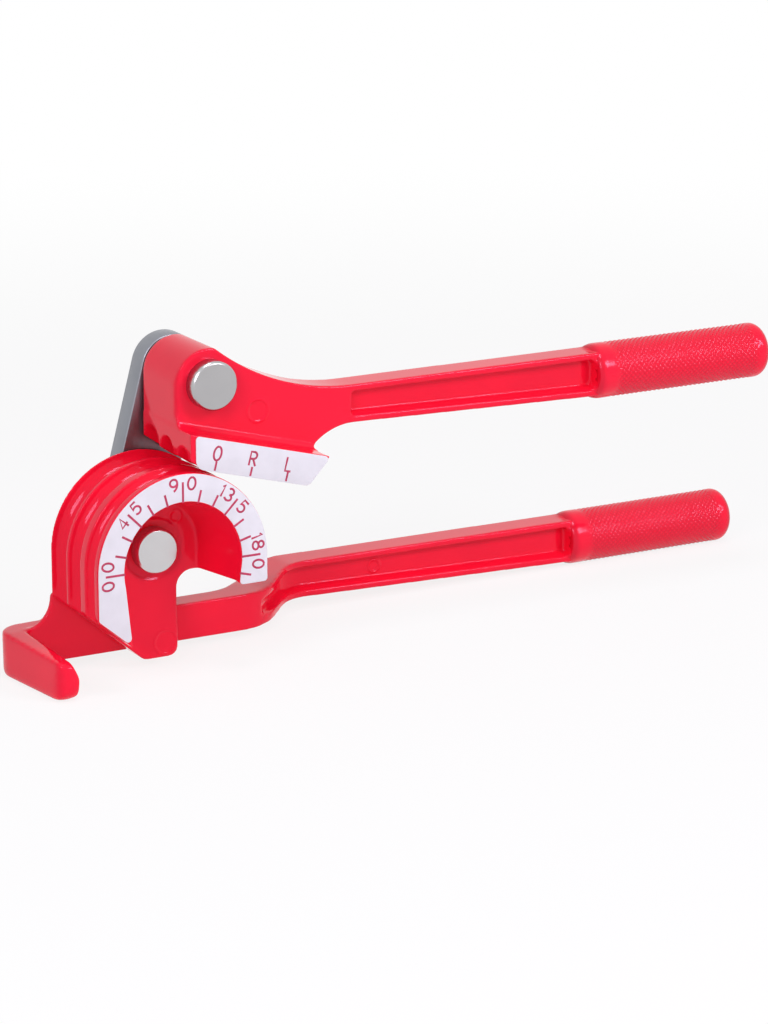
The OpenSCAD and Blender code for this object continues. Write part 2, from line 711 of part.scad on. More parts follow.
// Upper handle, drawn from the shoe pin. The shoe's own frame is tilted: its X runs along the ridges
function heel_at(n) = (-block_r - heel_stand - n * sin(shoe_tilt)) / cos(shoe_tilt);
heel_low = heel_cut - pin_to_shoe;
module shoe_outline() {
    rear_top = shoe_top + ledge_step;
    toe_top = shoe_len + toe_lean * (shoe_h + ledge_step) / shoe_h;
    polygon(rounded([
        [heel_start, -pin_to_shoe, 0], [shoe_len, -pin_to_shoe, toe_r], [toe_top, rear_top, 0],
        [heel_at(rear_top), rear_top, 0], [heel_at(heel_low), heel_low, 0]]));
}
module strip_outline() {
    low = shoe_border - pin_to_shoe;
    top = shoe_top - shoe_border;
    polygon(rounded([
        [heel_at(low) + heel_border, low, heel_corner], [shoe_len - shoe_border, low, toe_r],
        [shoe_len + toe_lean - shoe_border, top, scale_corner],
        [heel_at(top) + heel_border, top, scale_corner]]));
}
module above_shoe_line(n) rotate(-shoe_tilt) translate([-beyond, n]) square([2 * beyond, beyond]);
module block_outline() {
    circle(block_r);
    intersection() {
        translate([-block_r, -beyond]) square([2 * block_r, beyond]);
        above_shoe_line(shoe_top - past);
    }
}
module head_outline() {
    difference() {
        union() {
            block_outline();
            intersection() {
                translate([block_r / 2, -beyond]) square([neck_len - block_r / 2, beyond + block_r]);
                above_shoe_line(shoe_top - past);
            }
        }
        translate([neck_len, arm_top + neck_r]) circle(neck_r);
        translate([neck_len, arm_bottom - toe_hollow_r]) circle(toe_hollow_r);
    }
}
module upper_arm_outline() {
    polygon([
        [neck_len - sliver, arm_bottom], [upper_reach, -upper_grip_drop - arm_end_h / 2],
        [upper_reach, -upper_grip_drop + arm_end_h / 2], [neck_len - sliver, arm_top]]);
}
module upper_outline() {
    head_outline();
    rotate(-shoe_tilt) shoe_outline();
    upper_arm_outline();
}
module above_ledge(rise) {
    in_shoe() side_on(-beyond, 3 * beyond)
        translate([-past, shoe_top + rise]) square([2 * beyond, 2 * beyond]);
}
module ledge_cut() {
    in_shoe() side_on(-beyond, 3 * beyond) polygon(rounded([
        [-past, shoe_top, 0], [block_setback, shoe_top, ledge_fillet],
        [block_setback, 2 * beyond, 0], [-past, 2 * beyond, 0]]));
}
module neck_plan() {
    polygon(rounded([
        [neck_taper_x, upper_rear + past, 0], [neck_taper_x + neck_taper_len, upper_arm_rear, neck_taper_r],
        [3 * beyond, upper_arm_rear, 0], [3 * beyond, upper_rear + past, 0]]));
}
module block_corner_plan() {
    polygon(concat(
        corner_arc([-block_r, block_setback + past], [-block_r, block_setback],
            [past - block_r, block_setback], block_corner),
        [[block_corner - block_r, block_setback - past], [-block_r - past, block_setback - past],
         [-block_r - past, block_setback + block_corner]]));
}
module upper_pocket(rise) {
    pocket_outline(neck_len - pocket_lead, upper_reach - pocket_end,
        arm_bottom + rise, -upper_grip_drop - arm_end_h / 2 + rise,
        arm_top, -upper_grip_drop + arm_end_h / 2, flange_h / 2);
}
module shoe_grooves() {
    heel_rise = atan(heel_cut / (heel_start - heel_at(heel_low)));
    for (i = [0:2]) translate([0, groove_y(i), -pin_to_shoe - shoe_gap]) {
        rod_x(-beyond, beyond, groove_radii[i]);
        translate([heel_start, 0, 0]) rotate([0, heel_rise, 0])
            rod_x(-beyond, 0, groove_radii[i] + heel_flare);
    }
}
module upper_handle() color(enamel) on_base() difference() {
    union() {
        difference() {
            in_upper() face_on(0, upper_rear) upper_outline();
            ledge_cut();
            intersection() {
                in_upper() plan(-beyond, beyond) neck_plan();
                above_ledge(0);
            }
            intersection() {
                in_upper() plan(-beyond, beyond) block_corner_plan();
                above_ledge(ledge_fillet);
            }
        }
        in_upper() translate([0, upper_grip_y, -upper_grip_drop]) arm_end(upper_reach, arm_w / 2);
    }
    in_shoe() shoe_grooves();
    at_shoe_pin() rod_y(0, upper_rear + past, shoe_pin_r + seat_room);
    in_upper() pocket_cut(block_setback - grip_r, block_setback + pocket_lip, block_setback + pocket_depth) {
        upper_pocket(0);
        upper_pocket(pocket_draft);
    }
    in_upper() pocket_cut(upper_arm_rear - pocket_lip, upper_arm_rear + grip_r,
            upper_arm_rear - pocket_depth) {
        upper_pocket(0);
        upper_pocket(pocket_draft);
    }
}
module shoe_scale() color(plate_white) on_base() in_shoe() face_on(-scale_t, 0) strip_outline();
module upper_grip() color(enamel) on_base()
    in_upper() translate([upper_reach, upper_grip_y, -upper_grip_drop]) grip(upper_grip_len);
module shoe_pivot_pin() color(nickel) on_base() at_shoe_pin()
    headed_pin(shoe_head_front, block_setback, shoe_head_r, shoe_pin_r);
module shoe_thrust_washer() color(bronze) on_base() at_shoe_pin()
    washer(upper_rear, link_front - axial_room, shoe_pin_r);
module shoe_rear_washer() color(nickel) on_base() at_shoe_pin()
    washer(rear_washer_front, rear_washer_front + washer_t, shoe_pin_r);
module shoe_retaining_ring() color(steel) on_base() at_shoe_pin() retaining_ring(shoe_pin_r);

lower_handle();
forming_die();
die_screws();
die_dowels();
die_scale();
lower_grip();
die_pivot_pin();
die_thrust_washer();
die_rear_washer();
die_retaining_ring();
link_plate();
die_bush();
shoe_bush();
upper_handle();
shoe_scale();
upper_grip();
shoe_pivot_pin();
shoe_thrust_washer();
shoe_rear_washer();
shoe_retaining_ring();
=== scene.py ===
"""Dresses a packed tube bender: enamelled castings, knurled grips, printed scales, steel and studio."""

import json
import math

import bmesh
import bpy
import numpy as np
from bpy.props import FloatProperty, FloatVectorProperty, IntProperty, PointerProperty
from mathutils import Matrix, Vector


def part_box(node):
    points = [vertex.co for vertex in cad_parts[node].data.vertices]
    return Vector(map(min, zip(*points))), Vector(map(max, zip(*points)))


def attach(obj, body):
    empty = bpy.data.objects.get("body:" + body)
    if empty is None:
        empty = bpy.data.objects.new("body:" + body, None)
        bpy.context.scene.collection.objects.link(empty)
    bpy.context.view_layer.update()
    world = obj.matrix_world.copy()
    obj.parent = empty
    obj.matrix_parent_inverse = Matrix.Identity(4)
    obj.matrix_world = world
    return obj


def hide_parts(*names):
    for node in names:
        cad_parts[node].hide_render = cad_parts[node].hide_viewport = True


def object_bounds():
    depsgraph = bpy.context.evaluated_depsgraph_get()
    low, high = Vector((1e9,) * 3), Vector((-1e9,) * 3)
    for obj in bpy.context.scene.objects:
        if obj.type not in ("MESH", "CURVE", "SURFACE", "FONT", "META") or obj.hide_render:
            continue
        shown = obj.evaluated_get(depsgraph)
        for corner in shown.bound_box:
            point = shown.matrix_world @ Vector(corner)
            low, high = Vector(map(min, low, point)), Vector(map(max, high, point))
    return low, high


bl_info = {
    "name": "Tube bender finishes",
    "version": (1, 0, 0),
    "blender": (4, 5, 0),
    "location": "3D View > Sidebar > Tube bender",
    "description": "Gives a packed tube bender its enamel, knurling, printed scales, steel and studio",
    "category": "Object",
}

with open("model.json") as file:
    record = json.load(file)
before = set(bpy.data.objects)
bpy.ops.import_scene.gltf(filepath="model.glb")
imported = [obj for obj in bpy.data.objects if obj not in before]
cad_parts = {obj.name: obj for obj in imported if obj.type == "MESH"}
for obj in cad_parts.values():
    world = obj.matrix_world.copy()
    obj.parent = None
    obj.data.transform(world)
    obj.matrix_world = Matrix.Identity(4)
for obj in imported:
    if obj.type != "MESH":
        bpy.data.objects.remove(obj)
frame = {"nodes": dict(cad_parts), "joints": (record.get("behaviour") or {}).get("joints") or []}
CAD_LOW, CAD_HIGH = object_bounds()

MM = 0.001


def joint_place(name):
    """The point that a joint turns about, in the frame's metres."""
    for joint in frame["joints"]:
        if joint["name"] == name:
            return Vector(joint["pos_m"])
    raise KeyError(name)


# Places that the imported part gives
DIE_AXIS = joint_place("link_swing")
SHOE_PIN = joint_place("handle_pivot")
DIE_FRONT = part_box("forming_die")[0].y
DIE_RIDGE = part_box("forming_die")[1].z - DIE_AXIS.z
DIAL_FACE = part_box("die_scale")[0].y
SHOE_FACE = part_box("shoe_scale")[0].y
SHOE_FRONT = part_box("upper_handle")[0].y

# The shoe's own directions at rest: along its ridges, and up from them
SHOE_TILT = math.radians(15)
SHOE_ALONG = Vector((math.cos(SHOE_TILT), 0, -math.sin(SHOE_TILT)))
SHOE_UP = Vector((math.sin(SHOE_TILT), 0, math.cos(SHOE_TILT)))

# Casting skins: how far edges are drawn in, where they stay crisp, and how calm faces are smoothed
MERGE_GAP = 0.001 * MM
EDGE_PULL = 0.5
CRISP_PULL = 0.12
CRISP_DEPTH = 1.3 * MM
CRISP_RIDGE = 1.8 * MM
CALM_TURN = math.radians(7)
CALM_RINGS = 2
FAIR_ROUNDS = 60
FAIR_PUSH = -0.52
SKIN_TRIANGLES = 190000

# Hook: where it starts left of the die axis, heights, and how many more times it is softened
HOOK_FROM = 31 * MM
HOOK_FADE = 4 * MM
HOOK_LOW = 5 * MM
HOOK_HIGH = 11 * MM
HOOK_TOP_TURNS = 1
HOOK_FOOT_TURNS = 8

# Jog: its front corner right of the die axis, and how many more times it is softened
JOG_CORNER = 45 * MM
JOG_FADE = 7 * MM
JOG_TURNS = 2

# Round marks that the casting tool left: across and up from the die axis, face, radius, rim
TOOL_MARKS = {
    "forming_die": (
        (3.8 * MM, -29.8 * MM, 20.5 * MM, 3.7 * MM, 0.24 * MM),
        (7.55 * MM, 9.1 * MM, 20.5 * MM, 1.9 * MM, 0.24 * MM),
    ),
    "lower_handle": ((94.8 * MM, -27.4 * MM, 54.4 * MM, 2 * MM, 0.46 * MM),),
    "upper_handle": ((30.1 * MM, 41.4 * MM, 9.5 * MM, 3.4 * MM, 0.24 * MM),),
}
MARK_RIM_WIDTH = 0.42 * MM
MARK_SINK = 0.1 * MM
MARK_REACH = 0.5 * MM

# Machined pieces: their bevels, the turn that counts as an edge, and the turn that counts as flat
BEVEL_SEGMENTS = 3
EDGE_TURN = math.radians(35)
FLAT_TURN = math.radians(0.5)

# How far the scale plates reach past their solids, up to the castings' edges, and which faces are a rim
PLATE_GROW = 0.3 * MM
RIM_TILT = 0.5

# Painted shade: how much darker the shoe pin's nickel is painted than the die pin's, for the darker
# reflection its head shows
SHOE_PIN_PAINTED_SHADE = 0.74

# Grips: their ends and shoulders, the bore over the tang, the knurled length and the mesh steps
GRIP_END_ROUND = 3.2 * MM
GRIP_SHOULDER_FROM = -1.5 * MM
GRIP_SHOULDER_TO = 1.6 * MM
GRIP_SHOULDER_RISE = 1.3 * MM
TANG_BORE = 5.22 * MM
TANG_DEPTH = 47 * MM
BORE_MARGIN = 1.2
KNURL_FROM = 3.5 * MM
KNURL_SHORT_OF_END = 3.4 * MM
KNURL_FADE = 3.5 * MM
KNURL_STEPS = 8
ROUND_STEPS = 12

# Dial marks: an angle of 0 is on the left, and angles grow clockwise
DIAL_STEP = 15
DIAL_TICKS = 14
DIAL_LONG_EVERY = 3
DIAL_INNER = 19.2 * MM
DIAL_SHORT = 3.9 * MM
DIAL_LONG = 6.3 * MM
DIAL_DIGIT_FOOT = 23.1 * MM
DIAL_LABELS = ((0, "0", "0"), (45, "4", "5"), (90, "9", "0"), (135, "13", "5"), (180, "18", "0"))
DIGIT_HEIGHT = 3.7 * MM
DIGIT_WIDTH = 2.6 * MM
DIGIT_PITCH = 2.75 * MM
DIGIT_GAP = 2.95 * MM

# Shoe marks, along and up from the shoe pin
SHOE_MARKS = (("0", 2.75 * MM), ("R", 14.95 * MM), ("L", 27.3 * MM))
SHOE_LETTER_FOOT = -20.9 * MM
SHOE_LETTER_HEIGHT = 4.2 * MM
SHOE_TICK_FROM = -21.2 * MM
SHOE_TICK_TO = -24 * MM
SHOE_TICK_SHIFT = 0.25 * MM

# Tint of the enamel's reflections
ENAMEL_SHEEN = (0.85, 0.72, 1, 1)

# Printed strokes: sides of the pen, how flat it is pressed, and points on an arc
STROKE_SIDES = 8
STROKE_FLATTEN = 0.1
ARC_POINTS = 20

# Floor: half its width, how much it glows near the part, and where it becomes all white
FLOOR_HALF = 4
FLOOR_GLOW = 0.84
FLOOR_NEAR = 0.2
FLOOR_FAR = 0.8

# Camera, found from the photograph's own lines
IMAGE_WIDTH = 768
IMAGE_HEIGHT = 1024
SENSOR = 36
FOCAL_PIXELS = 3993
DIE_PIXEL = (183.5, 565.4)
DIE_DISTANCE = 1.179
CLIP_START = 0.05
CLIP_END = 50

# Lights: name, place, width and the studio property that holds the power
LAMPS = (
    ("key_light", Vector((0.5, -0.9, 0.7)), 0.42, "key_power"),
    ("top_light", Vector((-0.1, -0.3, 1.05)), 0.3, "top_power"),
    ("fill_light", Vector((-0.85, -0.65, 0.6)), 0.42, "fill_power"),
)


class Wire:
    """One output of a node tree. Arithmetic on it adds Math nodes to its tree."""

    def __init__(self, graph, socket):
        self.graph = graph
        self.socket = socket

    def _maths(self, operation, first, second):
        return self.graph.node("ShaderNodeMath", {"operation": operation}, {0: first, 1: second})

    def maths(self, operation, other=0):
        """Any other Math node on this value, and on a second one if it takes two."""
        return self._maths(operation, self, other)

    def __add__(self, other):
        return self._maths("ADD", self, other)

    __radd__ = __add__

    def __sub__(self, other):
        return self._maths("SUBTRACT", self, other)

    def __rsub__(self, other):
        return self._maths("SUBTRACT", other, self)

    def __mul__(self, other):
        return self._maths("MULTIPLY", self, other)

    __rmul__ = __mul__

    def __truediv__(self, other):
        return self._maths("DIVIDE", self, other)


class Graph:
    """A node tree that any node can be added to with one call."""

    def __init__(self, tree):
        self.tree = tree

    def node(self, kind, settings=None, inputs=None, output=0):
        """Adds a node, sets its settings, then sets or links its inputs, and returns one output."""
        made = self.tree.nodes.new(kind)
        for name, value in (settings or {}).items():
            if name == "stops":
                self._set_stops(made.color_ramp, value)
            else:
                setattr(made, name, value)
        for key, value in (inputs or {}).items():
            if isinstance(value, Wire):
                self.tree.links.new(value.socket, made.inputs[key])
            else:
                made.inputs[key].default_value = value
        return Wire(self, made.outputs[output]) if made.outputs else None

    @staticmethod
    def _set_stops(ramp, stops):
        while len(ramp.elements) < len(stops):
            ramp.elements.new(1)
        for element, (place, shade) in zip(ramp.elements, stops):
            element.position = place
            element.color = (shade, shade, shade, 1)

    def noise(self, scale, detail=3, stretch=(1, 1, 1), turn=(0, 0, 0)):
        """A noise value on Object coordinates, stretched and turned."""
        place = self.node("ShaderNodeTexCoord", output="Object")
        mapped = self.node(
            "ShaderNodeMapping", inputs={"Vector": place, "Rotation": turn, "Scale": stretch}
        )
        return self.node(
            "ShaderNodeTexNoise", inputs={"Vector": mapped, "Scale": scale, "Detail": detail}
        )

    def ramp(self, value, stops):
        """A value passed through grey stops of (place, shade)."""
        return self.node("ShaderNodeValToRGB", {"stops": stops}, {"Fac": value})

    def tint(self, factor, first, second):
        """A colour between two colours."""
        return self.node(
            "ShaderNodeMix",
            {"data_type": "RGBA"},
            {0: factor, 6: first, 7: second},
            output=2,
        )

    def seen_or_mirrored(self):
        """One for rays from the camera and for reflected or passed ones, else nothing."""
        rays = self.node("ShaderNodeLightPath", output="Is Camera Ray")
        outputs = rays.socket.node.outputs
        other = Wire(self, outputs["Is Glossy Ray"]) + Wire(self, outputs["Is Transmission Ray"])
        return (rays + other).maths("MINIMUM", 1)

    def split(self, vector):
        """The X, Y and Z of a vector."""
        first = self.node("ShaderNodeSeparateXYZ", inputs={0: vector})
        return [Wire(self, socket) for socket in first.socket.node.outputs]

    def smooth_step(self, value, low, high, first=0, last=1):
        """A number that goes softly from first to last while a value goes from low to high."""
        return self.node(
            "ShaderNodeMapRange",
            {"interpolation_type": "SMOOTHSTEP"},
            {"Value": value, "From Min": low, "From Max": high, "To Min": first, "To Max": last},
        )

    def bump(self, height, strength, distance):
        """A normal bent by a height."""
        return self.node(
            "ShaderNodeBump", inputs={"Height": height, "Strength": strength, "Distance": distance}
        )


def shaded(colour, share):
    """A colour made darker or lighter by a share, as a node tree takes it."""
    return (*(min(1, channel * share) for channel in colour), 1)


def new_material(name):
    """A material with an empty node tree, and its Graph."""
    material = bpy.data.materials.new(name)
    material.use_nodes = True
    material.node_tree.nodes.clear()
    return material, Graph(material.node_tree)


def close_material(graph, **sockets):
    """Ends a material in one Principled shader with the given socket values or links."""
    named = {key.replace("_", " "): value for key, value in sockets.items()}
    surface = graph.node("ShaderNodeBsdfPrincipled", inputs=named)
    graph.node("ShaderNodeOutputMaterial", inputs={"Surface": surface})


def enamel_material(colour):
    """Thick gloss enamel on a casting, with a faint orange peel and a slow change of tone."""
    material, graph = new_material("casting_enamel")
    cloud = graph.ramp(graph.noise(38, 2), ((0.35, 0), (0.65, 1)))
    peel = graph.noise(700, 2)
    haze = graph.noise(160, 4)
    close_material(
        graph,
        Base_Color=graph.tint(cloud, shaded(colour, 0.95), shaded(colour, 1.03)),
        Roughness=0.05 + 0.07 * haze,
        Specular_IOR_Level=0.24,
        Specular_Tint=ENAMEL_SHEEN,
        Normal=graph.bump(peel, 0.1, 0.04 * MM),
    )
    return material


def grip_material(name, colour, axis, radius, depth):
    """Enamel over knurling, with painted shade: the valleys are painted darker and the crests a little
    lighter.
    """
    material, graph = new_material(name)
    place = graph.node("ShaderNodeTexCoord", output="Object")
    _, wide, high = graph.split(place)
    across = wide - axis.y
    upward = high - axis.z
    out = (across * across + upward * upward).maths("SQRT")
    crest = graph.node(
        "ShaderNodeMapRange",
        inputs={"Value": out, "From Min": radius - depth, "From Max": radius},
    )
    haze = graph.noise(220, 4)
    close_material(
        graph,
        # Painted shade: the base colour is darker down in the knurl's valleys and a little lighter on
        # the crests
        Base_Color=graph.tint(crest, shaded(colour, 0.82), shaded(colour, 1.04)),
        Roughness=0.09 + 0.07 * haze + 0.04 * crest,
        Specular_IOR_Level=0.3,
        Specular_Tint=ENAMEL_SHEEN,
        Normal=graph.bump(graph.noise(1100, 2), 0.08, 0.04 * MM),
    )
    return material


def ground_steel_material(name, colour, turn):
    """Steel ground along its length: fine streaks, a cloudy tone and a soft sheen."""
    material, graph = new_material(name)
    streak = graph.noise(1500, 4, stretch=(1, 1, 0.03), turn=turn)
    cloud = graph.noise(90, 3)
    close_material(
        graph,
        Base_Color=graph.tint(cloud, shaded(colour, 0.86), shaded(colour, 1.12)),
        Metallic=0.9,
        Roughness=0.28 + 0.16 * streak,
        Normal=graph.bump(streak, 0.2, 0.02 * MM),
    )
    return material


def turned_nickel_material(name, colour, axis):
    """Satin nickel plate on a turned head: faint rings about the pin's axis and a fine grain."""
    material, graph = new_material(name)
    place = graph.node("ShaderNodeTexCoord", output="Object")
    centred = graph.node(
        "ShaderNodeMapping", inputs={"Vector": place, "Location": (-axis.x, -axis.y, -axis.z)}
    )
    rings = graph.node(
        "ShaderNodeTexWave",
        {"wave_type": "RINGS", "rings_direction": "Y"},
        {"Vector": centred, "Scale": 900, "Distortion": 1.5, "Detail": 2},
    )
    grain = graph.noise(1300, 5)
    cloud = graph.noise(140, 3)
    close_material(
        graph,
        Base_Color=graph.tint(cloud, shaded(colour, 0.95), shaded(colour, 1.05)),
        Metallic=1.0,
        Roughness=0.2 + 0.08 * grain,
        Normal=graph.bump(0.25 * rings + grain, 0.1, 0.02 * MM),
    )
    return material


def plain_metal_material(name, colour, roughness, metallic):
    """A small fitting's metal, with a clouded tone and a fine grain."""
    material, graph = new_material(name)
    cloud = graph.ramp(graph.noise(320, 4), ((0.35, 0), (0.7, 1)))
    grain = graph.noise(1800, 3)
    close_material(
        graph,
        Base_Color=graph.tint(cloud, shaded(colour, 0.8), shaded(colour, 1.15)),
        Metallic=metallic,
        Roughness=roughness - 0.08 + 0.16 * cloud,
        Normal=graph.bump(grain, 0.15, 0.02 * MM),
    )
    return material


def scale_material(colour):
    """A satin white plate with a barely visible rolled grain and a faint grey mottle."""
    material, graph = new_material("satin_scale_white")
    rolled = graph.noise(420, 4, stretch=(0.25, 1, 1))
    mottle = graph.ramp(graph.noise(150, 5), ((0.4, 0), (0.7, 1)))
    close_material(
        graph,
        Base_Color=graph.tint(mottle, shaded(colour, 1.02), shaded(colour, 0.95)),
        Roughness=0.34 + 0.14 * rolled,
        Normal=graph.bump(rolled, 0.12, 0.02 * MM),
    )
    return material


def print_material(colour):
    """Crimson printing ink, a little uneven where it lies thin."""
    material, graph = new_material("scale_print")
    thin = graph.ramp(graph.noise(900, 4), ((0.4, 0), (0.75, 1)))
    close_material(
        graph,
        Base_Color=graph.tint(thin, shaded(colour, 0.9), shaded(colour, 1.35)),
        Roughness=0.42 + 0.12 * thin,
    )
    return material


def floor_material(colour):
    """Pale studio floor: white to the eye and to reflections, and still dimmed by the part's shadow."""
    material, graph = new_material("studio_floor")
    speck = graph.noise(60, 3)
    paper = graph.node(
        "ShaderNodeBsdfDiffuse",
        inputs={"Color": graph.tint(speck, shaded(colour, 0.995), shaded(colour, 1))},
    )
    glow = graph.node("ShaderNodeEmission", inputs={"Color": (1, 1, 1, 1), "Strength": 1})
    place = graph.node("ShaderNodeTexCoord", output="Object")
    away = graph.node("ShaderNodeVectorMath", {"operation": "LENGTH"}, {0: place}, output="Value")
    share = graph.smooth_step(away, FLOOR_NEAR, FLOOR_FAR, FLOOR_GLOW, 1)
    surface = graph.node(
        "ShaderNodeMixShader", inputs={0: share * graph.seen_or_mirrored(), 1: paper, 2: glow}
    )
    graph.node("ShaderNodeOutputMaterial", inputs={"Surface": surface})
    return material


def new_piece(name, data):
    """A new object at the origin that shows a mesh, curve, light or camera."""
    piece = bpy.data.objects.new(name, data)
    bpy.context.scene.collection.objects.link(piece)
    return piece


def evaluated_mesh(piece):
    """The mesh that an object shows with its modifiers."""
    depsgraph = bpy.context.evaluated_depsgraph_get()
    return bpy.data.meshes.new_from_object(piece.evaluated_get(depsgraph), depsgraph=depsgraph)


def settle(piece):
    """Turns a piece's modifiers into its own mesh, and removes them."""
    mesh = evaluated_mesh(piece)
    piece.modifiers.clear()
    piece.data = mesh
    return piece


def hand_over(piece, body, material, nodes=()):
    """Gives a finished piece its one material and body, and hides the nodes that it stands for."""
    piece.data.materials.clear()
    piece.data.materials.append(material)
    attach(piece, body)
    if nodes:
        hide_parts(*nodes)
    return piece


def merged_copy(node):
    """A copy of a CAD node's mesh with its triangles joined at their shared corners."""
    mesh = frame["nodes"][node].data.copy()
    work = bmesh.new()
    work.from_mesh(mesh)
    bmesh.ops.remove_doubles(work, verts=work.verts, dist=MERGE_GAP)
    work.to_mesh(mesh)
    work.free()
    return mesh


def read_vectors(items, name):
    """An attribute of mesh vertices as an array of three columns."""
    values = np.empty(len(items) * 3, np.float32)
    items.foreach_get(name, values)
    return values.reshape(-1, 3).astype(float)


def relaxed(points, ends, pull):
    """Moves each point towards the mean of its neighbours, by its own pull."""
    first, second = ends.T
    count = len(points)
    degree = np.bincount(ends.ravel(), minlength=count)
    mean = np.stack(
        [
            np.bincount(first, points[second, axis], count)
            + np.bincount(second, points[first, axis], count)
            for axis in range(3)
        ],
        axis=1,
    )
    return points + pull[:, None] * (mean / degree[:, None] - points)


def write_points(mesh, points):
    """Puts moved points back in a mesh."""
    mesh.vertices.foreach_set("co", points.astype(np.float32).ravel())
    mesh.update()


def calm_points(mesh, ends):
    """True for points away from edges, where neighbouring normals hardly turn."""
    first, second = ends.T
    normals = read_vectors(mesh.vertices, "normal")
    turn = 1 - np.einsum("ij,ij->i", normals[first], normals[second])
    sharp = np.zeros(len(normals))
    np.maximum.at(sharp, first, turn)
    np.maximum.at(sharp, second, turn)
    for _ in range(CALM_RINGS):
        spread = sharp.copy()
        np.maximum.at(spread, first, sharp[second])
        np.maximum.at(spread, second, sharp[first])
        sharp = spread
    return sharp < 1 - math.cos(CALM_TURN)


def cast_skin(name, node, voxel, rounds, edge_share):
    """A cast copy of a node: one fine even mesh with soft edges and smooth curved faces.

    edge_share takes the points and says how many times over each one is softened.
    """
    piece = new_piece(name, merged_copy(node))
    skin = piece.modifiers.new("Even skin", "REMESH")
    skin.mode = "VOXEL"
    skin.voxel_size = voxel
    settle(piece)
    mesh = piece.data
    ends = np.empty(len(mesh.edges) * 2, np.int32)
    mesh.edges.foreach_get("vertices", ends)
    ends = ends.reshape(-1, 2)
    points = read_vectors(mesh.vertices, "co")
    share = edge_share(points)
    for turn in range(math.ceil(share.max())):
        pull = EDGE_PULL * np.clip(share - turn, 0, 1)
        for _ in range(rounds):
            points = relaxed(points, ends, pull)
    write_points(mesh, points)
    calm = calm_points(mesh, ends).astype(float)
    for _ in range(FAIR_ROUNDS):
        points = relaxed(points, ends, EDGE_PULL * calm)
        points = relaxed(points, ends, FAIR_PUSH * calm)
    write_points(mesh, tool_marked(points, TOOL_MARKS[node]))
    mesh.shade_smooth()
    corners = len(mesh.loops)
    faces = len(mesh.polygons)
    thin = piece.modifiers.new("Fewer triangles", "DECIMATE")
    thin.ratio = min(1, SKIN_TRIANGLES / (corners - 2 * faces))
    return settle(piece)


def tool_marked(points, marks):
    """Presses round tool marks, each with a fine rim, into faces that look along -Y."""
    moved = points.copy()
    for across, upward, face, radius, height in marks:
        out = np.hypot(points[:, 0] - DIE_AXIS.x - across, points[:, 2] - DIE_AXIS.z - upward)
        rim = height * np.exp(-(((out - radius) / MARK_RIM_WIDTH) ** 2))
        sink = MARK_SINK * np.clip((radius - out) / MARK_RIM_WIDTH, 0, 1)
        on_face = np.abs(points[:, 1] - DIE_FRONT - face) < MARK_REACH
        moved[:, 1] -= np.where(on_face, rim - sink, 0)
    return moved


def die_edge_share(points):
    """Keeps the die's ridges and the edges round its dial crisp."""
    out = np.hypot(points[:, 0] - DIE_AXIS.x, points[:, 2] - DIE_AXIS.z)
    ridge = out > DIE_RIDGE - CRISP_RIDGE
    under_dial = points[:, 1] < DIE_FRONT + CRISP_DEPTH
    return np.where(ridge | under_dial, CRISP_PULL / EDGE_PULL, 1)


def shoe_edge_share(points):
    """Keeps the edges round the shoe's scale crisp."""
    return np.where(points[:, 1] < SHOE_FRONT + CRISP_DEPTH, CRISP_PULL / EDGE_PULL, 1)


def arm_edge_share(points):
    """Rounds the jog and the hook more than the rest, most of all the hook's foot."""
    across = points[:, 0] - DIE_AXIS.x
    on_hook = np.clip((-HOOK_FROM - across) / HOOK_FADE, 0, 1)
    low = np.clip((HOOK_HIGH - points[:, 2]) / (HOOK_HIGH - HOOK_LOW), 0, 1)
    on_jog = np.clip(1 - np.abs(across - JOG_CORNER) / JOG_FADE, 0, 1)
    hook_turns = HOOK_TOP_TURNS + (HOOK_FOOT_TURNS - HOOK_TOP_TURNS) * low
    return 1 + on_hook * hook_turns + JOG_TURNS * on_jog


def widen(work, grow):
    """Moves the rim of a plate that looks along -Y outwards."""
    moves = {}
    for vert in work.verts:
        rim = [face.normal for face in vert.link_faces if abs(face.normal.y) < RIM_TILT]
        moves[vert] = sum(rim, Vector()).normalized() * grow
    for vert, move in moves.items():
        vert.co += move


def softened(name, node, width, grow=0):
    """A copy of a machined node with a small rounded bevel on its edges, its rim grown if asked."""
    mesh = merged_copy(node)
    work = bmesh.new()
    work.from_mesh(mesh)
    bmesh.ops.dissolve_limit(work, angle_limit=FLAT_TURN, verts=work.verts, edges=work.edges)
    if grow:
        widen(work, grow)
    work.to_mesh(mesh)
    work.free()
    mesh.shade_smooth()
    piece = new_piece(name, mesh)
    bevel = piece.modifiers.new("Eased edges", "BEVEL")
    bevel.width = width
    bevel.segments = BEVEL_SEGMENTS
    bevel.limit_method = "ANGLE"
    bevel.angle_limit = EDGE_TURN
    bevel.harden_normals = True
    return settle(piece)


def quarter(centre, radii, start):
    """Points of a quarter of an ellipse in a profile, from an angle that falls by 90 degrees."""
    angles = np.linspace(start, start - math.pi / 2, ROUND_STEPS)
    return [
        (centre[0] + radii[0] * math.cos(a), centre[1] + radii[1] * math.sin(a)) for a in angles
    ]


